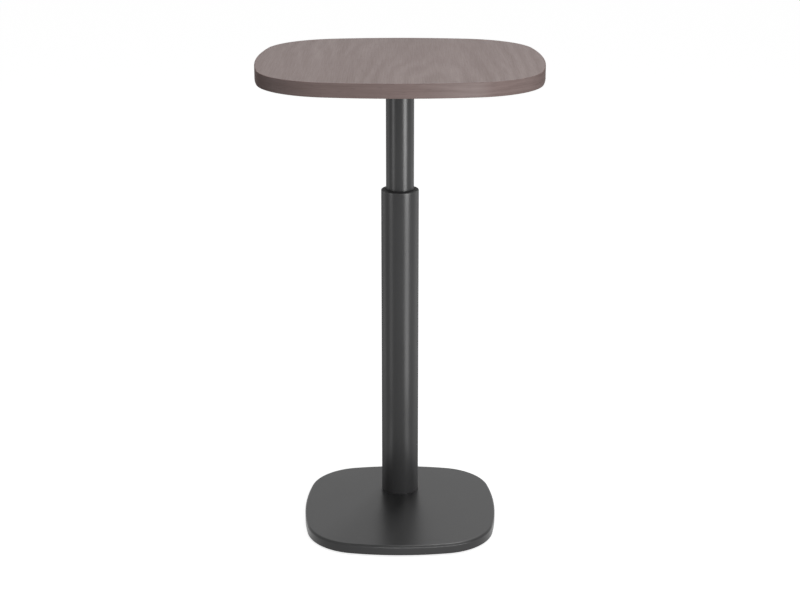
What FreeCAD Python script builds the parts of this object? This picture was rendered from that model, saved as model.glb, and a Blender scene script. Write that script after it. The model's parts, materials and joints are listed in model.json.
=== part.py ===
import FreeCAD, Part
import math
import os

# Telescoping pedestal table: a rounded-square wood top on a gas-sprung column that slides in a fixed
# tube, set back on a heavy rounded-square plate. Millimetres, +Z up, floor at z = 0.
# The origin is under the common centre of top and base, and the column stands behind it, towards +Y.

# Overall sizes
table_height = 1052.0
column_setback = 93.0
floor_gap = 4.0

# Wood top
top_width = 610.0
top_side_radius = 860.0
top_corner_radius = 172.0
top_thickness = 29.3
edge_band_thickness = 2.0
face_veneer_thickness = 0.8
backer_thickness = 0.8
top_edge_radius = 1.0

# Base plate
base_width = 433.0
base_side_radius = 590.0
base_corner_radius = 122.0
base_thickness = 22.0
base_upper_edge_radius = 5.0
base_lower_edge_radius = 1.5

# Column tubes
tube_gap = 7.0
outer_tube_wall = 4.0
outer_tube_length = 717.0
inner_tube_diameter = 62.0
inner_tube_wall = 3.0
tube_overlap = 280.0

# Collar that closes the mouth of the outer tube
collar_lip = 4.0
collar_edge_radius = 2.6
collar_spigot = 12.0
collar_gap = 1.2

# Guides between the tubes
slide_clearance = 0.2
fit_clearance = 0.05
upper_bush_length = 80.0
bush_land_length = 18.0
bush_relief = 1.2
lower_ring_length = 40.0
lower_ring_lip = 6.0
lower_ring_lip_width = 7.0
rail_width = 10.0
rail_room = 1.5
rail_length = 420.0
rail_below_bush = 32.0
rivet_diameter = 4.0
rivet_head_diameter = 7.0
rivet_head_height = 1.0
rivet_count = 3

# Foot of the column and its bolts
foot_plug_height = 14.0
foot_bolt_circle = 48.0
foot_bolt_count = 4
foot_bolt_diameter = 10.0
foot_bolt_head_diameter = 16.0
foot_bolt_head_height = 10.0
foot_bolt_hex = 8.0
foot_bolt_hex_depth = 5.0
foot_bolt_length = 23.0
counterbore_room = 1.0
bolt_hole_allowance = 1.0
thread_clearance = 0.05

# Levelling glides
glide_edge_distance = 76.5
glide_foot_diameter = 28.0
glide_foot_height = 9.0
glide_foot_chamfer = 1.5
glide_stud_diameter = 8.0
glide_stud_length = 11.0
glide_stud_embed = 4.0
glide_pocket_room = 1.0
glide_pocket_side_room = 2.5
glide_hole_room = 2.0
glide_clearance = 0.1

# Gas spring and the post that carries it
spring_body_diameter = 28.0
spring_body_wall = 1.5
spring_body_length = 392.0
spring_body_end = 4.0
spring_lip_width = 3.0
spring_lip_height = 1.5
spring_groove_depth = 0.8
spring_groove_width = 3.0
spring_stud_diameter = 10.0
spring_stud_length = 20.0
rod_guide_length = 20.0
rod_diameter = 14.0
rod_exposed = 233.0
rod_below_guide = 78.0
rod_thread_diameter = 12.0
rod_thread_show = 2.0
rod_clearance = 0.1
piston_length = 18.0
piston_clearance = 0.15
piston_groove_width = 4.0
piston_groove_depth = 1.6
piston_chamber_depth = 12.0
release_pin_diameter = 4.8
release_pin_clearance = 0.2
release_pin_reach = 4.0
release_pin_dome = 1.0
release_pin_foot_gap = 5.0
lock_nut_flats = 17.0
lock_nut_height = 6.0
post_diameter = 34.0
post_wall = 4.0
post_cap = 14.0

# Head housing under the top
housing_width = 100.0
housing_depth = 34.0
housing_wall = 3.0
housing_floor = 5.0
housing_corner_radius = 12.0
housing_lower_edge_radius = 3.0
housing_flange_width = 140.0
housing_flange_thickness = 5.0
housing_flange_corner_radius = 16.0
lever_slot_width = 24.0
lever_slot_drop = 6.0
bump_ring_height = 8.0
bump_ring_width = 8.0
bump_ring_chamfer = 2.0
rod_washer_diameter = 22.0
rod_washer_thickness = 2.0
rod_nut_flats = 18.0
rod_nut_height = 7.0

# Mounting plate and its screws
plate_length_x = 300.0
plate_length_y = 290.0
plate_thickness = 4.0
plate_corner_radius = 40.0
plate_forward = 68.0
top_screw_edge_distance = 25.0
top_screw_rows = 3
top_screw_diameter = 6.0
top_screw_length = 20.0
top_screw_head_diameter = 12.0
top_screw_head_height = 3.5
top_screw_head_chamfer = 1.4
top_screw_hex = 4.0
top_screw_hex_depth = 2.0
insert_diameter = 10.0
insert_length = 14.0
insert_hole_room = 1.8
housing_screw_diameter = 6.0
housing_screw_head_diameter = 11.0
housing_screw_head_height = 2.6
housing_screw_length = 8.5

# Release lever
lever_width = 18.0
lever_thickness = 4.0
lever_gap = 0.25
lever_pivot_offset = 24.0
lever_inner_reach = 9.0
lever_bend_start = 78.0
lever_bend_run = 18.0
lever_bend_drop = 18.0
lever_bend_radius = 6.0
lever_end = 205.0
lever_boss_diameter = 12.0
pivot_pin_diameter = 6.0
pivot_pin_head_diameter = 10.0
pivot_pin_head_height = 2.0
pivot_pin_tail = 3.0
pivot_clearance = 0.1
pivot_clip_diameter = 11.0
pivot_clip_thickness = 1.0
bracket_ear_thickness = 3.0
bracket_ear_gap = 0.5
bracket_ear_height = 5.5
bracket_ear_radius = 5.0
bracket_start = 13.0
bracket_wall_gap = 1.0
bracket_floor = 3.0
bracket_screw_diameter = 4.0
bracket_screw_head_diameter = 7.0
bracket_screw_head_height = 2.4
bracket_screw_spacing = 10.0
bracket_screw_offset = 39.0
bracket_screw_shy = 1.0
grip_hold = 37.0
grip_beyond = 31.0
grip_width = 34.0
grip_thickness = 10.0
grip_corner_radius = 14.0
grip_edge_radius = 3.0

# How far a cutting tool runs past the face that it opens, and how close two heights count as one
overrun = 1.0
tolerance = 0.001

# Heights, worked out from the floor up and from the top down
plate_bottom = floor_gap
base_top = plate_bottom + base_thickness
plug_top = base_top + foot_plug_height
tube_top = base_top + outer_tube_length
collar_top = tube_top + collar_lip
top_underside = table_height - top_thickness
mounting_bottom = top_underside - plate_thickness
housing_bottom = mounting_bottom - housing_depth
housing_inside = housing_bottom + housing_floor
inner_tube_bottom = tube_top - tube_overlap
inner_tube_length = housing_bottom - inner_tube_bottom
spring_top = housing_bottom - rod_exposed
spring_bottom = spring_top - spring_body_length
post_top = spring_bottom - lock_nut_height
piston_top = spring_top - rod_guide_length - rod_below_guide
rod_end = housing_inside + rod_washer_thickness + rod_nut_height + rod_thread_show
pin_tip = rod_end + release_pin_reach
lever_bottom = pin_tip + lever_gap
pivot_height = lever_bottom + lever_thickness / 2

# Radii that neighbours share
inner_radius = inner_tube_diameter / 2
inner_bore = inner_radius - inner_tube_wall
outer_bore = inner_radius + tube_gap
outer_tube_diameter = 2 * (outer_bore + outer_tube_wall)
rod_bore_diameter = release_pin_diameter + 2 * release_pin_clearance
spring_bore = spring_body_diameter / 2 - spring_body_wall
housing_centre_y = column_setback
plate_centre_y = column_setback - plate_forward

# Places and depths that follow from the pieces they serve
glide_spacing = base_width - 2 * glide_edge_distance
glide_pocket_diameter = glide_foot_diameter + 2 * glide_pocket_side_room
glide_pocket_depth = glide_foot_height - floor_gap + glide_pocket_room
glide_hole_depth = glide_foot_height + glide_stud_length - floor_gap + glide_hole_room
counterbore_diameter = foot_bolt_head_diameter + 2 * counterbore_room
counterbore_depth = foot_bolt_head_height + counterbore_room
top_screw_spacing_x = plate_length_x - 2 * top_screw_edge_distance
top_screw_spacing_y = (plate_length_y - 2 * top_screw_edge_distance) / (top_screw_rows - 1)
insert_hole_depth = top_screw_length - plate_thickness - backer_thickness + insert_hole_room
housing_screw_spacing = (housing_width + housing_flange_width) / 2
bracket_end = housing_width / 2 - housing_wall - bracket_wall_gap
bracket_screw_length = bracket_floor + housing_floor - bracket_screw_shy
grip_start = lever_end - grip_hold
grip_end = lever_end + grip_beyond
rail_depth = tube_gap - rail_room
rail_start = tube_top - collar_spigot - upper_bush_length - rail_below_bush - rail_length


def vector(x, y, z=0.0):
    return FreeCAD.Vector(x, y, z)


def disc(diameter, height, x, y, z):
    return Part.makeCylinder(diameter / 2, height, vector(x, y, z))


def through(diameter, height, x, y, z):
    """A cutter for a hole right through a piece that stands on z."""
    return disc(diameter, height + 2 * overrun, x, y, z - overrun)


def block(length_x, length_y, height, x, y, z):
    """A box centred on x and y that stands on z."""
    return Part.makeBox(length_x, length_y, height, vector(x - length_x / 2, y - length_y / 2, z))


def hexagon(flats, height, x, y, z):
    corner = flats / math.sqrt(3)
    points = []
    for step in range(7):
        angle = step * math.pi / 3
        points.append(vector(x + corner * math.cos(angle), y + corner * math.sin(angle), z))
    return Part.Face(Part.makePolygon(points)).extrude(vector(0, 0, height))


def turned(profile, x, y):
    """Turns a closed profile of (radius, height) points about the vertical line through x, y."""
    points = [vector(x + radius, y, height) for radius, height in profile]
    face = Part.Face(Part.makePolygon(points + points[:1]))
    return face.revolve(vector(x, y), vector(0, 0, 1), 360)


def squircle(width, side_radius, corner_radius, inset, z, height):
    """A prism on a square whose sides bulge gently and run tangent into round corners."""
    half = width / 2 - inset
    side = side_radius - inset
    corner = corner_radius - inset
    reach = side - half
    centre = (math.sqrt(2 * (side - corner) ** 2 - reach ** 2) - reach) / 2
    lean = math.atan2(centre, centre + reach)
    start = vector(side * math.sin(lean), side * math.cos(lean) - reach)
    diagonal = centre + corner / math.sqrt(2)
    arcs = []
    for turn in range(4):
        side_arc = [vector(-start.x, start.y), vector(0, half), start]
        corner_arc = [start, vector(diagonal, diagonal), vector(start.y, start.x)]
        for arc in (side_arc, corner_arc):
            spun = [FreeCAD.Rotation(vector(0, 0, 1), -90 * turn).multVec(p) for p in arc]
            arcs.append(Part.Arc(*spun).toShape())
    prism = Part.Face(Part.Wire(arcs)).extrude(vector(0, 0, height))
    prism.translate(vector(0, 0, z))
    return prism


def rounded_block(length_x, length_y, height, corner_radius, x, y, z):
    """A block with its four upright corners rounded."""
    solid = block(length_x, length_y, height, x, y, z)
    upright = [e for e in solid.Edges if abs(e.Vertexes[0].Z - e.Vertexes[1].Z) > height / 2]
    return solid.makeFillet(corner_radius, upright)


def edges_at(solid, z):
    """The edges that lie flat at height z."""
    flat = [e for e in solid.Edges if e.BoundBox.ZLength < tolerance]
    return [e for e in flat if abs(e.BoundBox.ZMin - z) < tolerance]


def across(diameter, length, x, y, z):
    """A cylinder along Y, centred on y."""
    return Part.makeCylinder(diameter / 2, length, vector(x, y - length / 2, z), vector(0, 1, 0))


def around_column(count, radius, first_angle=0.0):
    """Places spaced evenly on a circle about the column, with the angle of each."""
    places = []
    for step in range(count):
        angle = math.radians(first_angle) + 2 * math.pi * step / count
        x = radius * math.cos(angle)
        y = column_setback + radius * math.sin(angle)
        places.append((x, y, math.degrees(angle)))
    return places


def top_screw_places():
    places = []
    for side in (-1, 1):
        for row in range(top_screw_rows):
            y = plate_centre_y + (row - (top_screw_rows - 1) / 2) * top_screw_spacing_y
            places.append((side * top_screw_spacing_x / 2, y))
    return places


def housing_screw_places():
    half = housing_screw_spacing / 2
    return [(sx * half, housing_centre_y + sy * half) for sx in (-1, 1) for sy in (-1, 1)]


def glide_places():
    """The four glides, by the corner of the base that each one stands under."""
    half = glide_spacing / 2
    corners = {}
    for row, sy in (("front", -1), ("back", 1)):
        for side, sx in (("left", -1), ("right", 1)):
            corners[f"{row}_{side}"] = (sx * half, sy * half)
    return corners


def bracket_screw_places():
    half = bracket_screw_spacing / 2
    return [(bracket_screw_offset, column_setback + s * half) for s in (-1, 1)]


# Wood top: core, face, backer and edge band
def top_prism(inset, z, height):
    return squircle(top_width, top_side_radius, top_corner_radius, inset, z, height)


def top_core():
    bottom = top_underside + backer_thickness
    height = top_thickness - backer_thickness - face_veneer_thickness
    core = top_prism(edge_band_thickness, bottom, height)
    for x, y in top_screw_places():
        core = core.cut(disc(insert_diameter, insert_hole_depth + overrun, x, y, bottom - overrun))
    return core


def top_face_veneer():
    return top_prism(edge_band_thickness, table_height - face_veneer_thickness, face_veneer_thickness)


def top_backer():
    sheet = top_prism(edge_band_thickness, top_underside, backer_thickness)
    for x, y in top_screw_places():
        hole = through(insert_diameter, backer_thickness, x, y, top_underside)
        sheet = sheet.cut(hole)
    return sheet


def top_edge_band():
    band = top_prism(0, top_underside, top_thickness)
    band = band.makeFillet(top_edge_radius, edges_at(band, top_underside) + edges_at(band, table_height))
    return band.cut(top_prism(edge_band_thickness, top_underside - overrun, top_thickness + 2 * overrun))


def top_inserts():
    bottom = top_underside + backer_thickness
    bore = top_screw_diameter + 2 * thread_clearance
    inserts = []
    for x, y in top_screw_places():
        sleeve = disc(insert_diameter, insert_length, x, y, bottom)
        inserts.append(sleeve.cut(through(bore, insert_length, x, y, bottom)))
    return inserts


def top_screws():
    head_bottom = mounting_bottom - top_screw_head_height
    screws = []
    for x, y in top_screw_places():
        head = disc(top_screw_head_diameter, top_screw_head_height, x, y, head_bottom)
        head = head.makeChamfer(top_screw_head_chamfer, edges_at(head, head_bottom))
        head = head.cut(hexagon(top_screw_hex, top_screw_hex_depth, x, y, head_bottom))
        screws.append(head.fuse(disc(top_screw_diameter, top_screw_length, x, y, mounting_bottom)))
    return screws


# Mounting plate and head housing
def mounting_plate():
    plate = rounded_block(plate_length_x, plate_length_y, plate_thickness, plate_corner_radius,
                          0, plate_centre_y, mounting_bottom)
    for x, y in top_screw_places():
        bore = top_screw_diameter + bolt_hole_allowance
        plate = plate.cut(through(bore, plate_thickness, x, y, mounting_bottom))
    for x, y in housing_screw_places():
        plate = plate.cut(countersunk_screw(x, y, bolt_hole_allowance / 2))
    return plate


def countersunk_screw(x, y, allowance):
    """A flat-head screw, flush with the plate's upper face; with an allowance it cuts its own hole."""
    head = housing_screw_head_diameter / 2 + allowance
    shank = housing_screw_diameter / 2 + allowance
    neck = top_underside - housing_screw_head_height
    end = top_underside - housing_screw_length
    return turned([(0, top_underside), (head, top_underside), (shank, neck), (shank, end), (0, end)], x, y)


def housing_screws():
    return [countersunk_screw(x, y, 0) for x, y in housing_screw_places()]


def head_housing():
    flange_z = mounting_bottom - housing_flange_thickness
    shell = rounded_block(housing_width, housing_width, housing_depth, housing_corner_radius,
                          0, housing_centre_y, housing_bottom)
    shell = shell.makeFillet(housing_lower_edge_radius, edges_at(shell, housing_bottom))
    flange = rounded_block(housing_flange_width, housing_flange_width, housing_flange_thickness,
                           housing_flange_corner_radius, 0, housing_centre_y, flange_z)
    cavity_width = housing_width - 2 * housing_wall
    cavity = rounded_block(cavity_width, cavity_width, housing_depth, housing_corner_radius - housing_wall,
                           0, housing_centre_y, housing_inside)
    shell = shell.fuse(flange).removeSplitter().cut(cavity)
    slot_floor = lever_bottom - lever_slot_drop
    slot_length = housing_flange_width / 2 + overrun
    slot = block(slot_length, lever_slot_width, housing_depth, slot_length / 2, housing_centre_y,
                 slot_floor)
    shell = shell.cut(slot)
    rod_hole = rod_thread_diameter + bolt_hole_allowance
    shell = shell.cut(through(rod_hole, housing_floor, 0, column_setback, housing_bottom))
    for x, y in housing_screw_places():
        bore = housing_screw_diameter + 2 * thread_clearance
        shell = shell.cut(through(bore, housing_flange_thickness, x, y, flange_z))
    for x, y in bracket_screw_places():
        bore = bracket_screw_diameter + 2 * thread_clearance
        shell = shell.cut(through(bore, housing_floor, x, y, housing_bottom))
    return shell


def bump_ring():
    inside = inner_radius + fit_clearance
    outside = inside + bump_ring_width
    foot = housing_bottom - bump_ring_height
    ring = disc(2 * outside, bump_ring_height, 0, column_setback, foot)
    ring = ring.makeChamfer(bump_ring_chamfer, edges_at(ring, foot))
    return ring.cut(through(2 * inside, bump_ring_height, 0, column_setback, foot))


# Column tubes, collar and guides
def tube(outside, bore, z, length):
    solid = disc(2 * outside, length, 0, column_setback, z)
    return solid.cut(through(2 * bore, length, 0, column_setback, z))


def outer_tube():
    return tube(outer_tube_diameter / 2, outer_bore, base_top, outer_tube_length)


def inner_tube():
    shell = tube(inner_radius, inner_bore, inner_tube_bottom, inner_tube_length)
    for x, y, angle in rivet_places():
        shell = shell.cut(rivet_shank(angle, rivet_diameter + 2 * thread_clearance))
    return shell


def collar():
    outside = outer_tube_diameter / 2
    inside = inner_radius + collar_gap
    spigot = outer_bore - fit_clearance
    foot = tube_top - collar_spigot
    profile = [(inside, foot), (spigot, foot), (spigot, tube_top), (outside, tube_top),
               (outside, collar_top), (inside, collar_top)]
    ring = turned(profile, 0, column_setback)
    upper = edges_at(ring, collar_top)
    widest = max(upper, key=lambda edge: edge.Length)
    return ring.makeFillet(collar_edge_radius, [widest])


def upper_guide_bush():
    top = tube_top - collar_spigot
    bottom = top - upper_bush_length
    outside = outer_bore - fit_clearance
    land = inner_radius + slide_clearance
    relief = land + bush_relief
    upper_land = top - bush_land_length
    lower_land = bottom + bush_land_length
    profile = [(land, bottom), (outside, bottom), (outside, top), (land, top), (land, upper_land),
               (relief, upper_land - bush_relief), (relief, lower_land + bush_relief), (land, lower_land)]
    return turned(profile, 0, column_setback)


def rail_block(width, depth, z, length):
    """A bar that stands against the back of the outer tube's bore."""
    return block(width, depth, length, 0, column_setback + outer_bore - depth / 2, z)


def guide_rail():
    bore = disc(2 * (outer_bore - slide_clearance), rail_length, 0, column_setback, rail_start)
    return rail_block(rail_width, rail_depth, rail_start, rail_length).common(bore)


def rivet_places():
    return around_column(rivet_count, inner_radius, -90.0)


def radial(diameter, start, length, angle, z):
    """A cylinder that points away from the column's axis."""
    rod = Part.makeCylinder(diameter / 2, length, vector(start, 0, 0), vector(1, 0, 0))
    rod.rotate(vector(0, 0), vector(0, 0, 1), angle)
    rod.translate(vector(0, column_setback, z))
    return rod


def rivet_height():
    return inner_tube_bottom + lower_ring_length / 2


def rivet_tail_seat():
    """Where the formed tail meets the inner tube's curved bore."""
    return math.sqrt(inner_bore ** 2 - (rivet_head_diameter / 2) ** 2) - fit_clearance


def rivet_shank(angle, diameter):
    start = rivet_tail_seat() - rivet_head_height
    return radial(diameter, start, rivet_seat() - start, angle, rivet_height())


def rivet_seat():
    """How far from the column's axis a rivet's head bears, sunk below the ring's outside."""
    return outer_bore - slide_clearance - 2 * rivet_head_height


def rivet_head(angle, diameter, height):
    return radial(diameter, rivet_seat(), height, angle, rivet_height())


def ring_rivets():
    rivets = []
    for x, y, angle in rivet_places():
        start = rivet_tail_seat() - rivet_head_height
        tail = radial(rivet_head_diameter, start, rivet_head_height, angle, rivet_height())
        head = rivet_head(angle, rivet_head_diameter, rivet_head_height)
        rivets.append(rivet_shank(angle, rivet_diameter).fuse(tail).fuse(head))
    return rivets


def lower_guide_ring():
    outside = outer_bore - slide_clearance
    inside = inner_radius + fit_clearance
    lip = inner_radius - lower_ring_lip_width
    foot = inner_tube_bottom - lower_ring_lip
    top = inner_tube_bottom + lower_ring_length
    ring = turned([(lip, foot), (outside, foot), (outside, top), (inside, top), (inside, inner_tube_bottom),
                   (lip, inner_tube_bottom)], 0, column_setback)
    height = lower_ring_length + lower_ring_lip + 2 * overrun
    width = rail_width + 2 * slide_clearance
    depth = rail_depth + slide_clearance
    ring = ring.cut(rail_block(width, depth, foot - overrun, height))
    for x, y, angle in rivet_places():
        ring = ring.cut(rivet_shank(angle, rivet_diameter + 2 * thread_clearance))
        sunk = rivet_head_diameter + 2 * thread_clearance
        ring = ring.cut(rivet_head(angle, sunk, 2 * rivet_head_height))
    return ring


# Base plate, foot of the column and glides
def pocket(diameter, depth, x, y):
    """A cutter for a round pocket in the underside of the base plate."""
    return disc(diameter, depth + overrun, x, y, plate_bottom - overrun)


def base_plate():
    plate = squircle(base_width, base_side_radius, base_corner_radius, 0, plate_bottom, base_thickness)
    plate = plate.makeFillet(base_upper_edge_radius, edges_at(plate, base_top))
    plate = plate.makeFillet(base_lower_edge_radius, edges_at(plate, plate_bottom))
    for x, y, angle in foot_bolt_places():
        plate = plate.cut(pocket(counterbore_diameter, counterbore_depth, x, y))
        bore = foot_bolt_diameter + bolt_hole_allowance
        plate = plate.cut(through(bore, base_thickness, x, y, plate_bottom))
    for x, y in glide_places().values():
        plate = plate.cut(pocket(glide_pocket_diameter, glide_pocket_depth, x, y))
        bore = glide_stud_diameter + 2 * glide_clearance
        plate = plate.cut(disc(bore, glide_hole_depth, x, y, plate_bottom))
    return plate


def foot_bolt_places():
    return around_column(foot_bolt_count, foot_bolt_circle / 2, 45.0)


def foot_plug():
    plug = disc(2 * (outer_bore - fit_clearance), foot_plug_height, 0, column_setback, base_top)
    for x, y, angle in foot_bolt_places():
        bore = foot_bolt_diameter + 2 * thread_clearance
        plug = plug.cut(through(bore, foot_plug_height, x, y, base_top))
    return plug


def foot_bolts():
    seat = plate_bottom + counterbore_depth
    bolts = []
    for x, y, angle in foot_bolt_places():
        head = disc(foot_bolt_head_diameter, foot_bolt_head_height, x, y, seat - foot_bolt_head_height)
        socket = hexagon(foot_bolt_hex, foot_bolt_hex_depth + overrun, x, y,
                         seat - foot_bolt_head_height - overrun)
        bolts.append(head.cut(socket).fuse(disc(foot_bolt_diameter, foot_bolt_length, x, y, seat)))
    return bolts


def glide_foot(x, y):
    foot = disc(glide_foot_diameter, glide_foot_height, x, y, 0)
    foot = foot.makeChamfer(glide_foot_chamfer, edges_at(foot, 0) + edges_at(foot, glide_foot_height))
    return foot.cut(glide_stud(x, y))


def glide_stud(x, y):
    start = glide_foot_height - glide_stud_embed
    return disc(glide_stud_diameter, glide_stud_length + glide_stud_embed, x, y, start)


# Gas spring: body, rod guide, rod, piston, release pin, and the post below
def gas_spring_body():
    outside = spring_body_diameter / 2
    lip = outside - spring_lip_width
    shoulder = spring_top - spring_lip_height
    floor = spring_bottom + spring_body_end
    groove_z = shoulder - rod_guide_length - spring_groove_width
    half = spring_groove_width / 2
    stud = spring_stud_diameter / 2
    dent = spring_groove_depth
    profile = [(0, spring_bottom - spring_stud_length), (stud, spring_bottom - spring_stud_length),
               (stud, spring_bottom), (outside, spring_bottom), (outside, groove_z - half),
               (outside - dent, groove_z), (outside, groove_z + half), (outside, shoulder),
               (lip + spring_lip_height, spring_top), (lip, spring_top), (lip, shoulder),
               (spring_bore, shoulder), (spring_bore, floor), (0, floor)]
    return turned(profile, 0, column_setback)


def rod_guide():
    top = spring_top - spring_lip_height
    return tube(spring_bore - fit_clearance, rod_diameter / 2 + rod_clearance, top - rod_guide_length,
                rod_guide_length)


def gas_spring_rod():
    bore = rod_bore_diameter / 2
    shank = rod_diameter / 2
    thread = rod_thread_diameter / 2
    profile = [(bore, piston_top), (shank, piston_top), (shank, housing_bottom), (thread, housing_bottom),
               (thread, rod_end), (bore, rod_end)]
    return turned(profile, 0, column_setback)


def piston():
    bottom = piston_top - piston_length
    outside = spring_bore - piston_clearance
    groove = outside - piston_groove_depth
    groove_low = piston_top - piston_length / 2 - piston_groove_width / 2
    groove_high = groove_low + piston_groove_width
    chamber = rod_bore_diameter / 2
    chamber_floor = piston_top - piston_chamber_depth
    profile = [(0, bottom), (outside, bottom), (outside, groove_low), (groove, groove_low),
               (groove, groove_high), (outside, groove_high), (outside, piston_top), (chamber, piston_top),
               (chamber, chamber_floor), (0, chamber_floor)]
    return turned(profile, 0, column_setback)


def piston_seal():
    outside = spring_bore - piston_clearance
    groove_low = piston_top - piston_length / 2 - piston_groove_width / 2
    return tube(outside, outside - piston_groove_depth, groove_low, piston_groove_width)


def release_pin():
    foot = piston_top - piston_chamber_depth + release_pin_foot_gap
    pin = disc(release_pin_diameter, pin_tip - foot, 0, column_setback, foot)
    return pin.makeFillet(release_pin_dome, edges_at(pin, pin_tip))


def spring_lock_nut():
    nut = hexagon(lock_nut_flats, lock_nut_height, 0, column_setback, post_top)
    bore = spring_stud_diameter + 2 * thread_clearance
    return nut.cut(through(bore, lock_nut_height, 0, column_setback, post_top))


def spring_post():
    outside = post_diameter / 2
    bore = outside - post_wall
    tapped = spring_stud_diameter / 2 + thread_clearance
    profile = [(bore, plug_top), (outside, plug_top), (outside, post_top), (tapped, post_top),
               (tapped, post_top - post_cap), (bore, post_top - post_cap)]
    return turned(profile, 0, column_setback)


def rod_washer():
    ring = disc(rod_washer_diameter, rod_washer_thickness, 0, column_setback, housing_inside)
    bore = rod_thread_diameter + bolt_hole_allowance
    return ring.cut(through(bore, rod_washer_thickness, 0, column_setback, housing_inside))


def rod_nut():
    seat = housing_inside + rod_washer_thickness
    nut = hexagon(rod_nut_flats, rod_nut_height, 0, column_setback, seat)
    bore = rod_thread_diameter + 2 * thread_clearance
    return nut.cut(through(bore, rod_nut_height, 0, column_setback, seat))


# Release lever, its bracket, pin and grip
def is_lever_bend(edge, bend_end):
    """True for the edges across the strip where it turns down and where it levels out."""
    at_bend = min(abs(edge.BoundBox.XMin - x) for x in (lever_bend_start, bend_end)) < tolerance
    return at_bend and edge.BoundBox.XLength < tolerance and edge.BoundBox.ZLength < tolerance


def release_lever():
    low = lever_bottom
    high = lever_bottom + lever_thickness
    drop = lever_bend_drop
    bend_end = lever_bend_start + lever_bend_run
    outline = [(-lever_inner_reach, low), (lever_bend_start, low), (bend_end, low - drop),
               (lever_end, low - drop), (lever_end, high - drop), (bend_end, high - drop),
               (lever_bend_start, high), (-lever_inner_reach, high)]
    near = column_setback - lever_width / 2
    points = [vector(x, near, z) for x, z in outline]
    strip = Part.Face(Part.makePolygon(points + points[:1])).extrude(vector(0, lever_width, 0))
    bends = [e for e in strip.Edges if is_lever_bend(e, bend_end)]
    strip = strip.makeFillet(lever_bend_radius, bends)
    boss = across(lever_boss_diameter, lever_width, lever_pivot_offset, column_setback, pivot_height)
    hole = across(pivot_pin_diameter + 2 * pivot_clearance, lever_width + 2 * overrun, lever_pivot_offset,
                  column_setback, pivot_height)
    return strip.fuse(boss).cut(hole)


def lever_grip():
    middle = pivot_height - lever_bend_drop
    length = grip_end - grip_start
    grip = rounded_block(length, grip_width, grip_thickness, grip_corner_radius, grip_start + length / 2,
                         column_setback, middle - grip_thickness / 2)
    rims = edges_at(grip, middle - grip_thickness / 2) + edges_at(grip, middle + grip_thickness / 2)
    grip = grip.makeFillet(grip_edge_radius, rims)
    room_length = lever_end - grip_start + overrun
    room = block(room_length, lever_width, lever_thickness, lever_end - room_length / 2,
                 column_setback, middle - lever_thickness / 2)
    return grip.cut(room)


def lever_bracket():
    ear_inside = ear_outside() - bracket_ear_thickness
    width = 2 * ear_outside()
    length = bracket_end - bracket_start
    middle = bracket_start + length / 2
    height = pivot_height + bracket_ear_height - housing_inside
    bracket = block(length, width, height, middle, column_setback, housing_inside)
    channel = block(length + 2 * overrun, 2 * ear_inside, height, middle, column_setback,
                    housing_inside + bracket_floor)
    bracket = bracket.cut(channel)
    ear_ends = [e for e in edges_at(bracket, housing_inside + height) if e.BoundBox.XLength < tolerance]
    bracket = bracket.makeFillet(bracket_ear_radius, ear_ends)
    bore = pivot_pin_diameter + 2 * thread_clearance
    hinge = across(bore, width + 2 * overrun, lever_pivot_offset, column_setback, pivot_height)
    bracket = bracket.cut(hinge)
    for x, y in bracket_screw_places():
        hole = bracket_screw_diameter + bolt_hole_allowance
        bracket = bracket.cut(through(hole, bracket_floor, x, y, housing_inside))
    return bracket


def bracket_screws():
    seat = housing_inside + bracket_floor
    screws = []
    for x, y in bracket_screw_places():
        head = disc(bracket_screw_head_diameter, bracket_screw_head_height, x, y, seat)
        shank = disc(bracket_screw_diameter, bracket_screw_length, x, y, seat - bracket_screw_length)
        screws.append(head.fuse(shank))
    return screws


def ear_outside():
    return lever_width / 2 + bracket_ear_gap + bracket_ear_thickness


def pivot_pin():
    near = column_setback - ear_outside()
    length = 2 * ear_outside() + pivot_pin_tail
    shank = Part.makeCylinder(pivot_pin_diameter / 2, length,
                              vector(lever_pivot_offset, near, pivot_height), vector(0, 1, 0))
    head = Part.makeCylinder(pivot_pin_head_diameter / 2, pivot_pin_head_height,
                             vector(lever_pivot_offset, near - pivot_pin_head_height, pivot_height),
                             vector(0, 1, 0))
    return shank.fuse(head)


def pivot_clip():
    far = column_setback + ear_outside()
    ring = Part.makeCylinder(pivot_clip_diameter / 2, pivot_clip_thickness,
                             vector(lever_pivot_offset, far, pivot_height), vector(0, 1, 0))
    bore = Part.makeCylinder(pivot_pin_diameter / 2 + thread_clearance, pivot_clip_thickness + 2 * overrun,
                             vector(lever_pivot_offset, far - overrun, pivot_height), vector(0, 1, 0))
    return ring.cut(bore)


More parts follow.
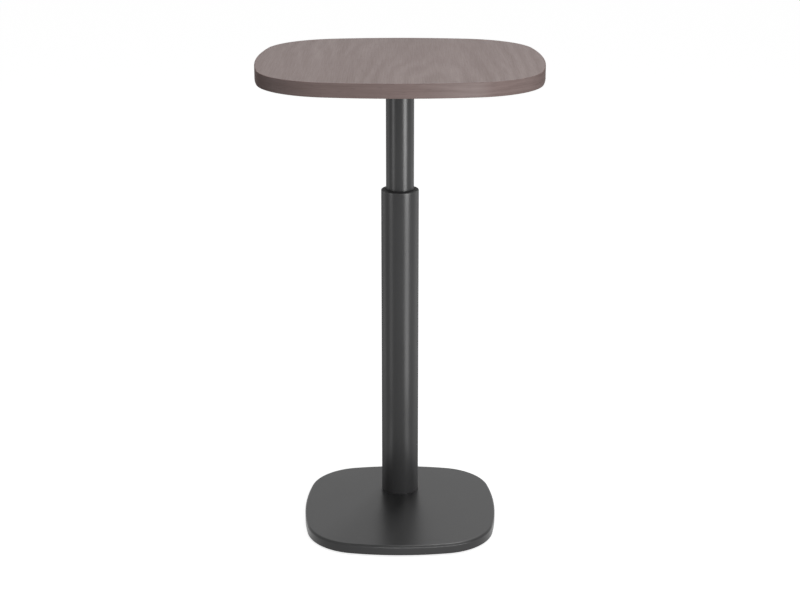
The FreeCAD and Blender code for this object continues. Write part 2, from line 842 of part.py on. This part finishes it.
def all_parts():
    parts = {
        "top_core": top_core(), "top_face_veneer": top_face_veneer(), "top_backer": top_backer(),
        "top_edge_band": top_edge_band(), "top_inserts": top_inserts(), "top_screws": top_screws(),
        "mounting_plate": mounting_plate(), "housing_screws": housing_screws(),
        "head_housing": head_housing(), "bump_ring": bump_ring(), "outer_tube": outer_tube(),
        "inner_tube": inner_tube(), "collar": collar(), "upper_guide_bush": upper_guide_bush(),
        "guide_rail": guide_rail(), "ring_rivets": ring_rivets(),
        "lower_guide_ring": lower_guide_ring(), "base_plate": base_plate(), "foot_plug": foot_plug(),
        "foot_bolts": foot_bolts(), "gas_spring_body": gas_spring_body(), "rod_guide": rod_guide(),
        "gas_spring_rod": gas_spring_rod(), "piston": piston(), "piston_seal": piston_seal(),
        "release_pin": release_pin(), "spring_lock_nut": spring_lock_nut(), "spring_post": spring_post(),
        "rod_washer": rod_washer(), "rod_nut": rod_nut(), "release_lever": release_lever(),
        "lever_grip": lever_grip(), "lever_bracket": lever_bracket(), "bracket_screws": bracket_screws(),
        "pivot_pin": pivot_pin(), "pivot_clip": pivot_clip(),
    }
    for corner, (x, y) in glide_places().items():
        parts[f"glide_foot_{corner}"] = glide_foot(x, y)
        parts[f"glide_stud_{corner}"] = glide_stud(x, y)
    return parts


def main():
    os.makedirs("parts", exist_ok=True)
    for name, made in all_parts().items():
        shape = Part.makeCompound(made) if isinstance(made, list) else made
        shape.exportStep(f"parts/{name}.step")
        print(name, len(shape.Solids), round(shape.Volume), shape.isValid())


main()
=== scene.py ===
# %% [markdown]
# # A telescoping pedestal table
#
# The real table has four things to look at: a grey-brown wood top with softly bulging sides, a satin
# charcoal column that telescopes, a heavy plate base of the same paint, and the small black lift
# mechanism under the top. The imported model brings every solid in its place, so this lesson dresses
# those solids: it sets up the photograph's view, makes finishes that hold up close, and lights them as
# a catalogue studio would.

import json
import math

import bpy
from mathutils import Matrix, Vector

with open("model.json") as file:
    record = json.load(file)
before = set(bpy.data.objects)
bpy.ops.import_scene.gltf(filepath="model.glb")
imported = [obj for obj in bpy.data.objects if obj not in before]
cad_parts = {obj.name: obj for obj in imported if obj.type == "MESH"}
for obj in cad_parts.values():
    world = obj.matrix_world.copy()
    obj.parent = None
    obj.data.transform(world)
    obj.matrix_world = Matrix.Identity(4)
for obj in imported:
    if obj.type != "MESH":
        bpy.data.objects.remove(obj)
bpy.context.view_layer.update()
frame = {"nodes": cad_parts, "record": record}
scene = bpy.context.scene
scene.view_settings.view_transform = "Standard"

# %% [markdown]
# ## The camera
#
# The photograph was taken from a little above the top, several metres away, with the table's column
# upright in the picture. A long lens from the same height gives the same flat ellipse of a top and
# the same rounder view of the base. A slight lens shift keeps upright lines from leaning together, and
# it stays slight so that the other views of the table are still framed.

# %% Camera
IMAGE_WIDTH = 800
SENSOR_WIDTH = 36.0
FOCAL_PIXELS = 1581.6
COLUMN_Y = 0.093
CAMERA_DISTANCE = 3.4214
CAMERA_HEIGHT = 1.5823
CAMERA_TILT = math.radians(16.587)
CAMERA_SHIFT = -0.04

camera_data = bpy.data.cameras.new("photo_camera")
camera_data.sensor_width = SENSOR_WIDTH
camera_data.lens = FOCAL_PIXELS / IMAGE_WIDTH * SENSOR_WIDTH
camera_data.shift_y = CAMERA_SHIFT
camera = bpy.data.objects.new("photo_camera", camera_data)
camera.location = (0.0, COLUMN_Y - CAMERA_DISTANCE, CAMERA_HEIGHT)
camera.rotation_euler = (math.pi / 2 - CAMERA_TILT, 0.0, 0.0)
scene.collection.objects.link(camera)
scene.camera = camera
print("lens", round(camera_data.lens, 2), "mm")

# %% [markdown]
# ## Small helpers for shader nodes
#
# A material is a graph of nodes. It can be drawn by hand in the shader editor, but a long graph is
# easier to repeat from a script. Writing each node, its settings and its links on one line keeps the
# graphs below short enough to read.

# %% Node helpers
def fill(tree, made, values):
    """Sets a node's inputs, by name or number, to plain values or links them to sockets."""
    for key, value in values.items():
        if isinstance(value, bpy.types.NodeSocket):
            tree.links.new(value, made.inputs[key])
        else:
            made.inputs[key].default_value = value


def add(tree, kind, values=None, **settings):
    """Adds a node, sets its properties, and fills its inputs."""
    made = tree.nodes.new(kind)
    for name, value in settings.items():
        setattr(made, name, value)
    fill(tree, made, values or {})
    return made


def math_node(tree, operation, first, second=0.0):
    """One step of arithmetic on sockets or numbers."""
    return add(tree, "ShaderNodeMath", {0: first, 1: second}, operation=operation).outputs[0]


def noise(tree, vector, detail=2.0, roughness=0.5, scale=1.0):
    """Soft random values between 0 and 1, with a mean of one half."""
    values = {"Vector": vector, "Scale": scale, "Detail": detail, "Roughness": roughness}
    return add(tree, "ShaderNodeTexNoise", values).outputs[0]


def stretch(tree, across, along, across_scale, along_scale):
    """A texture vector with its own scale across and along the grain."""
    u = math_node(tree, "MULTIPLY", across, across_scale)
    v = math_node(tree, "MULTIPLY", along, along_scale)
    return add(tree, "ShaderNodeCombineXYZ", {0: u, 1: v}).outputs[0]


def remap(tree, value, low, high, to_low=0.0, to_high=1.0):
    """Carries one range over to another, easing in and out at the ends."""
    values = {0: value, 1: low, 2: high, 3: to_low, 4: to_high}
    return add(tree, "ShaderNodeMapRange", values, interpolation_type="SMOOTHSTEP").outputs[0]


def new_group(name, inputs, outputs):
    """A shader group with plain value sockets; returns the tree, its inputs and its output node."""
    group = bpy.data.node_groups.new(name, "ShaderNodeTree")
    for label, default in inputs.items():
        kind = "NodeSocketVector" if default is None else "NodeSocketFloat"
        socket = group.interface.new_socket(label, in_out="INPUT", socket_type=kind)
        if default is not None:
            socket.default_value = default
    for label in outputs:
        group.interface.new_socket(label, in_out="OUTPUT", socket_type="NodeSocketFloat")
    ins = group.nodes.new("NodeGroupInput")
    outs = group.nodes.new("NodeGroupOutput")
    return group, ins.outputs, outs.inputs


print("node helpers are ready")

# %% [markdown]
# ## Wood figure, shared by the face, the edge band and the backing sheet
#
# Veneer shows three things at three sizes: the growth rings cut at a slant, which make long bands
# and pointed arches; fine fibres along the grain; and short dark pores. A picture of wood could be
# wrapped round the top, but it would blur up close and meet itself at a seam, so the rings are worked
# out as they grow: the distance from a slanting heart line, bent by slow noise, drives a wave. The
# group takes a distance across and a distance along the grain, so each sheet can turn the grain its
# own way. The scales below are in waves per metre, across and along the grain.

# %% Wood figure group
NOISE_MEAN = 0.5
SWAY_SCALE = (5.0, 1.3)
SWAY_REACH = 0.14
RIPPLE_SCALE = (28.0, 7.0)
RIPPLE_REACH = 0.030
CLOUD_SCALE = (14.0, 1.2)
CLOUD_SHARE = 0.55
FIBRE_SCALE = (420.0, 9.0)
FIBRE_SHARE = 0.75
PORE_SCALE = (1300.0, 42.0)
PORE_EDGE = (0.62, 0.74)
PORE_DEPTH = 0.6
PATCH_SCALE = (6.0, 2.2)
PATCH_EDGE = (0.38, 0.66)
BAND_STRENGTH = (0.05, 0.20)
HEART_DEPTH = 0.06


def swing(tree, value, reach=1.0):
    """Shifts a noise to swing about zero, as far as the reach."""
    return math_node(tree, "MULTIPLY", math_node(tree, "SUBTRACT", value, NOISE_MEAN), reach)


def grown_rings(group, ins, sway, ripple):
    """A wave over the distance from the slanting heart line: one turn for each growth ring."""
    side = math_node(group, "SUBTRACT", math_node(group, "ADD", ins["Across"], sway), ins["Heart"])
    depth = math_node(group, "MULTIPLY", ins["Along"], ins["Slant"])
    depth = math_node(group, "ADD", depth, HEART_DEPTH)
    squares = [math_node(group, "POWER", leg, 2.0) for leg in (side, depth)]
    radius = math_node(group, "SQRT", math_node(group, "ADD", *squares))
    turns = math_node(group, "MULTIPLY", math_node(group, "ADD", radius, ripple), ins["Rings"])
    wave = math_node(group, "SINE", math_node(group, "MULTIPLY", turns, 2 * math.pi))
    return math_node(group, "MULTIPLY", wave, 0.5)


def make_wood_figure():
    group, ins, outs = new_group(
        "Wood Figure",
        {"Across": 0.0, "Along": 0.0, "Rings": 30.0, "Heart": 0.09, "Slant": 0.16},
        ["Tone", "Pores", "Height"])

    def grain(scale, detail, roughness=0.5):
        return noise(group, stretch(group, ins["Across"], ins["Along"], *scale), detail, roughness)

    sway = swing(group, grain(SWAY_SCALE, 2.0), SWAY_REACH)
    ripple = swing(group, grain(RIPPLE_SCALE, 2.0), RIPPLE_REACH)
    strength = remap(group, grain(PATCH_SCALE, 1.0), *PATCH_EDGE, *BAND_STRENGTH)
    bands = math_node(group, "MULTIPLY", grown_rings(group, ins, sway, ripple), strength)
    cloud = swing(group, grain(CLOUD_SCALE, 3.0), CLOUD_SHARE)
    fibre = swing(group, grain(FIBRE_SCALE, 4.0, 0.6))
    pores = remap(group, grain(PORE_SCALE, 1.0), *PORE_EDGE)
    tone = math_node(group, "ADD", bands, 0.5)
    tone = math_node(group, "ADD", tone, cloud)
    tone = math_node(group, "ADD", tone, math_node(group, "MULTIPLY", fibre, FIBRE_SHARE))
    height = math_node(group, "SUBTRACT", fibre, math_node(group, "MULTIPLY", pores, PORE_DEPTH))
    for label, socket in {"Tone": tone, "Pores": pores, "Height": height}.items():
        group.links.new(socket, outs[label])
    return group


WOOD_FIGURE = make_wood_figure()
print("group:", WOOD_FIGURE.name)

# %% [markdown]
# ## Paint skin, shared by every painted and moulded black piece
#
# Powder coat melts into a skin with a faint orange peel, and its sheen varies a little from place to
# place. Moulded plastic has a finer version of the same thing. The peel is too small to model, so the
# group gives a height for a bump and a slow drift for tone and sheen; the size of the peel is an input.

# %% Paint skin group
DRIFT_SCALE = 7.0


def make_paint_skin():
    group, ins, outs = new_group("Paint Skin", {"Place": None, "Peel": 900.0}, ["Height", "Drift"])
    group.links.new(noise(group, ins["Place"], scale=ins["Peel"]), outs["Height"])
    group.links.new(noise(group, ins["Place"], scale=DRIFT_SCALE), outs["Drift"])
    return group


PAINT_SKIN = make_paint_skin()
print("group:", PAINT_SKIN.name)

# %% [markdown]
# ## Tool lines, shared by the bare metals
#
# Turned, ground and rolled metal keeps fine lines round its axis. Here they run round the upright
# axis, because the rod, the studs and the screws all stand upright in this table: a noise with many
# waves along the axis and hardly any across it.

# %% Tool lines group
LINE_STRETCH = (1.0, 0.02)
METAL_DRIFT_SCALE = 60.0


def make_tool_lines():
    group, ins, outs = new_group("Tool Lines", {"Place": None, "Pitch": 2500.0}, ["Height", "Drift"])
    parts = add(group, "ShaderNodeSeparateXYZ", {0: ins["Place"]}).outputs
    lines = noise(group, stretch(group, parts[2], parts[0], *LINE_STRETCH), scale=ins["Pitch"])
    group.links.new(lines, outs["Height"])
    group.links.new(noise(group, ins["Place"], scale=METAL_DRIFT_SCALE), outs["Drift"])
    return group


TOOL_LINES = make_tool_lines()
print("group:", TOOL_LINES.name)

# %% [markdown]
# ## Helpers for materials
#
# Every finish starts from one Principled BSDF. Values that are the same all over it are typed into
# its sockets, and only what changes over the surface comes through links. The haze is the one thing
# here that follows the eye, and it is a liberty: a real satin skin mirrors more, not less, at a low
# angle. In test renders the close lamps glared white there, so Layer Weight's Facing output adds
# roughness that spreads the glare.

# %% Material helpers
HAZE_EDGE = (0.25, 0.75)


def new_material(name, specular=0.5, metallic=0.0):
    """A material with its own Principled BSDF; returns the material, its tree and the shader."""
    material = bpy.data.materials.new(name)
    material.use_nodes = True
    tree = material.node_tree
    shader = tree.nodes["Principled BSDF"]
    fill(tree, shader, {"Specular IOR Level": specular, "Metallic": metallic})
    return material, tree, shader


def place_of(tree):
    """The place on the piece in metres, in the table's own frame."""
    return add(tree, "ShaderNodeTexCoord").outputs["Object"]


def placed(tree, group, values):
    """Places a shared group in a material with its own values, and returns its outputs."""
    holder = add(tree, "ShaderNodeGroup", node_tree=group)
    fill(tree, holder, values)
    return holder.outputs


def bump(tree, shader, height, strength, distance):
    """Tilts the shading by a height, without moving the surface."""
    made = add(tree, "ShaderNodeBump", {"Strength": strength, "Distance": distance, "Height": height})
    tree.links.new(made.outputs[0], shader.inputs["Normal"])


def hazed(tree, roughness, edge_haze):
    """Adds roughness where the surface turns away, so that a low reflection is scattered there."""
    if not edge_haze:
        return roughness
    facing = add(tree, "ShaderNodeLayerWeight").outputs["Facing"]
    return math_node(tree, "ADD", roughness, remap(tree, facing, *HAZE_EDGE, 0.0, edge_haze))


def blend_colour(tree, factor, low, high):
    """Mixes two colours, each a socket or three numbers."""
    ends = [end if isinstance(end, bpy.types.NodeSocket) else (*end, 1.0) for end in (low, high)]
    return add(tree, "ShaderNodeMix", {0: factor, 6: ends[0], 7: ends[1]}, data_type="RGBA").outputs[2]


def scaled(colour, *factors):
    """A colour times one factor, or times one factor for each channel."""
    shares = factors if len(factors) > 1 else factors * len(colour)
    return [channel * share for channel, share in zip(colour, shares)]


print("material helpers are ready")

# %% [markdown]
# ## Wood finishes
#
# On the face the grain runs from front to back. On the edge band it runs along the strip, round the
# whole top, so the band measures its grain by the angle round the middle. Satin lacquer gives both a
# quiet sheen. The band's colour is the face's colour made darker: partly because a strip sawn another
# way is darker, and partly as painted shade for an upright side that gets less light than the top.
# The band gets the haze, because its round corners would otherwise mirror a lamp harshly where they
# turn away.

# %% Wood materials
WOOD_DARK = (0.215, 0.160, 0.148)
WOOD_LIGHT = (0.385, 0.305, 0.292)
PORE_COLOUR = (0.150, 0.117, 0.107)
PORE_SHARE = 0.55
DARK_GRAIN_ROUGHER = 0.05
LIGHT_GRAIN_SMOOTHER = 0.04
GRAIN_STRENGTH = 0.12
GRAIN_DEPTH = 0.0004
TOP_MEAN_RADIUS = 0.30


def wood(name, grain, figure_values, shade, roughness, specular=0.12, edge_haze=0.0):
    material, tree, shader = new_material(name, specular=specular)
    parts = add(tree, "ShaderNodeSeparateXYZ", {0: place_of(tree)}).outputs
    across, along = grain(tree, parts)
    figure = placed(tree, WOOD_FIGURE, {"Across": across, "Along": along, **figure_values})
    dark, light, pore = (scaled(colour, *shade) for colour in (WOOD_DARK, WOOD_LIGHT, PORE_COLOUR))
    body = blend_colour(tree, figure["Tone"], dark, light)
    pore_share = math_node(tree, "MULTIPLY", figure["Pores"], PORE_SHARE)
    tree.links.new(blend_colour(tree, pore_share, body, pore), shader.inputs["Base Color"])
    sheen = remap(tree, figure["Tone"], 0.0, 1.0,
                  roughness + DARK_GRAIN_ROUGHER, roughness - LIGHT_GRAIN_SMOOTHER)
    tree.links.new(hazed(tree, sheen, edge_haze), shader.inputs["Roughness"])
    bump(tree, shader, figure["Height"], GRAIN_STRENGTH, GRAIN_DEPTH)
    return material


def front_to_back(tree, parts):
    """Across the grain is the table's X, along it the table's Y."""
    return parts[0], parts[1]


def along_band(tree, parts):
    """Across the grain is the height, along it the way round the top."""
    angle = math_node(tree, "ARCTAN2", parts[1], parts[0])
    return parts[2], math_node(tree, "MULTIPLY", angle, TOP_MEAN_RADIUS)


WOODS = {
    "wood_face": dict(grain=front_to_back, figure_values={}, shade=(1.0, 1.0, 1.0), roughness=0.5),
    # The edge band's shade is partly a darker strip and partly painted shade for its upright side.
    "wood_edge": dict(grain=along_band, figure_values={"Rings": 60.0, "Heart": 1.2, "Slant": 0.02},
                      shade=(0.73, 0.705, 0.70), roughness=0.38, specular=0.18, edge_haze=0.55),
    "wood_backer": dict(grain=front_to_back, figure_values={"Rings": 20.0, "Heart": -0.1},
                        shade=(0.85, 0.85, 0.85), roughness=0.6),
}
finishes = {name: wood(name, **values) for name, values in WOODS.items()}
print("wood finishes:", len(finishes))

# %% [markdown]
# ## Painted and moulded finishes
#
# The plate and the tubes share a charcoal powder coat with a satin sheen: it is almost black head-on,
# and the flat plate lifts to grey where it mirrors the studio at a low angle. The tubes are smoother,
# so that the bright lines down them run straight. In test renders their sides came out too light, the
# collar's flat top mirrored a lamp as pure white, and the mounting plate under the top glared from below,
# so all three get the haze. The core board shows nowhere, but it is dressed as chipboard in case the top
# is taken apart.

# %% Paint and plastic materials
CHARCOAL = (0.017, 0.017, 0.0175)
TUBE_CHARCOAL = (0.020, 0.020, 0.0205)
TUBE_PEEL_DEPTH = 0.00002
PEEL_STRENGTH = 0.25
PAINT_TONES = (0.9, 1.1)
DRIFT_EDGE = (0.3, 0.7)


def painted(name, colour, roughness, peel=900.0, peel_depth=0.00006, specular=0.5, drift=0.05,
            edge_haze=0.0):
    material, tree, shader = new_material(name, specular=specular)
    skin = placed(tree, PAINT_SKIN, {"Place": place_of(tree), "Peel": peel})
    tone = blend_colour(tree, skin["Drift"], *(scaled(colour, share) for share in PAINT_TONES))
    tree.links.new(tone, shader.inputs["Base Color"])
    sheen = remap(tree, skin["Drift"], *DRIFT_EDGE, roughness - drift, roughness + drift)
    tree.links.new(hazed(tree, sheen, edge_haze), shader.inputs["Roughness"])
    bump(tree, shader, skin["Height"], PEEL_STRENGTH, peel_depth)
    return material


PAINTS = {
    "charcoal_paint": dict(colour=CHARCOAL, roughness=0.33, specular=0.38, drift=0.015),
    "charcoal_collar": dict(colour=TUBE_CHARCOAL, roughness=0.30, peel_depth=TUBE_PEEL_DEPTH,
                            specular=0.3, drift=0.01, edge_haze=0.45),
    "charcoal_tube": dict(colour=TUBE_CHARCOAL, roughness=0.29, peel_depth=TUBE_PEEL_DEPTH,
                          specular=0.26, drift=0.01, edge_haze=0.45),
    "black_paint": dict(colour=(0.018, 0.018, 0.019), roughness=0.5, peel=1400.0, edge_haze=0.45),
    "black_plastic": dict(colour=(0.012, 0.012, 0.013), roughness=0.55, peel=2200.0, specular=0.4),
    "black_grip": dict(colour=(0.016, 0.016, 0.017), roughness=0.62, peel=1800.0, specular=0.4),
    "black_nylon": dict(colour=(0.014, 0.014, 0.015), roughness=0.5, peel=2000.0, specular=0.4),
    "black_rubber": dict(colour=(0.010, 0.010, 0.010), roughness=0.75, peel=1600.0, specular=0.3),
    "core_board": dict(colour=(0.34, 0.25, 0.16), roughness=0.85, peel=350.0, peel_depth=0.0004,
                       specular=0.2),
}
finishes.update({name: painted(name, **values) for name, values in PAINTS.items()})
print("painted and moulded finishes:", len(PAINTS))

# %% [markdown]
# ## Bare metals
#
# Screws, studs and brackets are zinc plated, which is pale and slightly blue. The gas spring's rod is
# ground bright, the post and the rail inside the column are left as drawn steel, and the threaded
# inserts in the top are brass. Metals have no colour of their own beneath the shine: Metallic is 1 and
# Base Color tints the reflection.

# %% Metal materials
METAL_TONES = (0.92, 1.06)
METAL_DRIFT = 0.05
LINE_STRENGTH = 0.2
LINE_DEPTH = 0.00002


def bare_metal(name, colour, roughness, pitch=2500.0):
    material, tree, shader = new_material(name, metallic=1.0)
    lines = placed(tree, TOOL_LINES, {"Place": place_of(tree), "Pitch": pitch})
    tone = blend_colour(tree, lines["Drift"], *(scaled(colour, share) for share in METAL_TONES))
    tree.links.new(tone, shader.inputs["Base Color"])
    sheen = remap(tree, lines["Drift"], *DRIFT_EDGE, roughness - METAL_DRIFT, roughness + METAL_DRIFT)
    tree.links.new(sheen, shader.inputs["Roughness"])
    bump(tree, shader, lines["Height"], LINE_STRENGTH, LINE_DEPTH)
    return material


METALS = {
    "raw_steel": dict(colour=(0.42, 0.42, 0.43), roughness=0.45),
    "zinc_steel": dict(colour=(0.58, 0.60, 0.63), roughness=0.34),
    "polished_rod": dict(colour=(0.66, 0.66, 0.68), roughness=0.12, pitch=4000.0),
    "aluminium_guide": dict(colour=(0.62, 0.62, 0.63), roughness=0.36),
    "brass_insert": dict(colour=(0.62, 0.46, 0.20), roughness=0.34),
}
finishes.update({name: bare_metal(name, **values) for name, values in METALS.items()})
print("bare metals:", len(METALS), "finishes in all:", len(finishes))

# %% [markdown]
# ## Dressing the solids
#
# Each solid keeps its own mesh. The record names a material slot for every piece, so one pass puts the
# finish of that name into the slot, and pieces of one stuff share one material.

# %% Dress the CAD nodes
for sub in frame["record"]["subparts"]:
    piece = frame["nodes"][sub["node"]]
    for material_slot in piece.material_slots:
        material_slot.material = finishes[sub["material_slot"]]

# %% [markdown]
# ## Floor and surroundings
#
# A catalogue picture stands the table in a white sweep. The world lights the table only a little, but
# shows as white to the camera and in reflections; Light Path tells those rays apart. The floor is pale
# and keeps a soft shadow, and for the same rays it is lifted towards white. From below it is clear, so
# that the underside can be seen.

# %% World and floor
WHITE = (1.0, 1.0, 1.0, 1.0)
WORLD_LIGHT = 0.2
FLOOR_HALF = 12.0
FLOOR_LIFT = 0.82
FLOOR_COLOUR = (0.86, 0.86, 0.86, 1.0)
FLOOR_ROUGHNESS = 0.9


def studio_ray(tree):
    """1 for rays that show the background: from the camera, in gloss and through glass."""
    path = add(tree, "ShaderNodeLightPath").outputs
    seen = math_node(tree, "MAXIMUM", path["Is Camera Ray"], path["Is Glossy Ray"])
    return math_node(tree, "MAXIMUM", seen, path["Is Transmission Ray"])


world = bpy.data.worlds.new("studio")
world.use_nodes = True
scene.world = world
sky = world.node_tree
shine = remap(sky, studio_ray(sky), 0.0, 1.0, WORLD_LIGHT, 1.0)
fill(sky, sky.nodes["Background"], {"Color": WHITE, "Strength": shine})

corners = [(sx * FLOOR_HALF, sy * FLOOR_HALF, 0.0) for sx, sy in ((-1, -1), (1, -1), (1, 1), (-1, 1))]
floor_mesh = bpy.data.meshes.new("floor")
floor_mesh.from_pydata(corners, [], [(0, 1, 2, 3)])
floor = bpy.data.objects.new("floor", floor_mesh)
scene.collection.objects.link(floor)
floor_paint, floor_tree, floor_shader = new_material("floor_paint", specular=0.0)
lift = remap(floor_tree, studio_ray(floor_tree), 0.0, 1.0, 0.0, FLOOR_LIFT)
from_below = add(floor_tree, "ShaderNodeNewGeometry").outputs["Backfacing"]
fill(floor_tree, floor_shader, {
    "Base Color": FLOOR_COLOUR,
    "Roughness": FLOOR_ROUGHNESS,
    "Emission Color": WHITE,
    "Emission Strength": lift,
    "Alpha": math_node(floor_tree, "SUBTRACT", 1.0, from_below),
})
floor_mesh.materials.append(floor_paint)
print("floor", 2 * FLOOR_HALF, "m square")

# %% [markdown]
# ## Soft boxes
#
# A broad soft box above lights the wood and another lights the front from the right. The other four
# are flagged off from everything but one finish, as a photographer would do with black card; Blender's
# light linking does the same. Two light the wooden edge: the front one brightens it towards its right
# end and the back one keeps it from going dark behind. Two light the base plate: one high behind the
# table draws the thin bright line along its rounded rim, and a strip on the floor lifts its front side
# without touching its top.

# %% Soft boxes
def soft_box(name, place, target, width, height, power, slots=None):
    """A rectangular lamp that the camera can't see; with slots, it reaches only those finishes."""
    lamp = bpy.data.lights.new(name, "AREA")
    lamp.shape = "RECTANGLE"
    lamp.size = width
    lamp.size_y = height
    lamp.energy = power
    box = bpy.data.objects.new(name, lamp)
    box.location = place
    box.rotation_euler = (Vector(target) - Vector(place)).to_track_quat("-Z", "Y").to_euler()
    box.visible_camera = False
    scene.collection.objects.link(box)
    if slots:
        reached = bpy.data.collections.new(name + "_reach")
        for sub in frame["record"]["subparts"]:
            if sub["material_slot"] in slots:
                reached.objects.link(frame["nodes"][sub["node"]])
        box.light_linking.receiver_collection = reached


def round_column(azimuth, distance, height):
    """A place at an angle to the right of the camera's side, seen from the column."""
    turn = math.radians(azimuth)
    return (distance * math.sin(turn), COLUMN_Y - distance * math.cos(turn), height)


UNDER_TOP = (0.0, COLUMN_Y, 0.9)
BOXES = {
    "top_light": dict(place=(0.4, -0.4, 3.0), target=(0.0, 0.0, 0.6), width=2.2, height=2.2, power=21.3),
    "key_light": dict(place=round_column(34, 2.6, 2.0), target=(0.0, COLUMN_Y, 0.6),
                      width=1.0, height=1.0, power=9.0),
    "strip_edge": dict(place=round_column(22, 1.5, 0.8), target=UNDER_TOP,
                       width=0.3, height=0.5, power=6.8, slots=["wood_edge"]),
    "edge_fill": dict(place=round_column(195, 1.5, 0.8), target=UNDER_TOP,
                      width=0.8, height=0.5, power=4.0, slots=["wood_edge"]),
    "plate_rim": dict(place=(0.42, 1.18, 2.25), target=(0.0, 0.0, 0.02),
                      width=0.3, height=0.3, power=22.0, slots=["charcoal_paint"]),
    "plate_side": dict(place=(0.25, -0.75, 0.012), target=(0.0, -0.2, 0.012),
                       width=1.0, height=0.02, power=3.8, slots=["charcoal_paint"]),
}
for name, values in BOXES.items():
    soft_box(name, **values)
print("soft boxes:", len(BOXES))

# %% [markdown]
# ## Strip lights for the tubes
#
# Upright strips round the column draw the bright lines down the tubes, two in front and two behind. The
# front ones have extra lamps at the top, where the lines are strongest, and at the foot, where the
# reflection of a strip far from the column would run into the floor. Lamps that overlap stand at
# different distances, because with two in one plane the second loses most of its light. The strips
# reach everything but the base plate and the wood, which would mirror them as a glare.

# %% Strips
FLAGGED = ("charcoal_paint", "wood_face", "wood_edge", "wood_backer")
# Degrees round the column, distance from it, height of the middle, width, length, watts.
STRIPS = {
    "strip_right": (42, 0.65, 0.51, 0.28, 1.0, 5.6),
    "strip_right_high": (42, 0.70, 0.81, 0.30, 0.42, 3.2),
    "strip_right_low": (42, 0.30, 0.05, 0.13, 0.10, 0.10),
    "strip_left": (-55, 0.65, 0.51, 0.20, 1.0, 1.2),
    "strip_left_high": (-55, 0.70, 0.81, 0.20, 0.42, 0.7),
    "strip_left_low": (-55, 0.30, 0.05, 0.10, 0.10, 0.05),
    "strip_back_right": (138, 0.65, 0.51, 0.28, 1.0, 1.6),
    "strip_back_left": (-125, 0.65, 0.51, 0.20, 1.0, 0.8),
}
unflagged = [slot for slot in finishes if slot not in FLAGGED]
for name, (azimuth, distance, height, width, length, power) in STRIPS.items():
    place = round_column(azimuth, distance, height)
    soft_box(name, place, (0.0, COLUMN_Y, height), width, length, power, unflagged)
print("strips:", len(STRIPS))
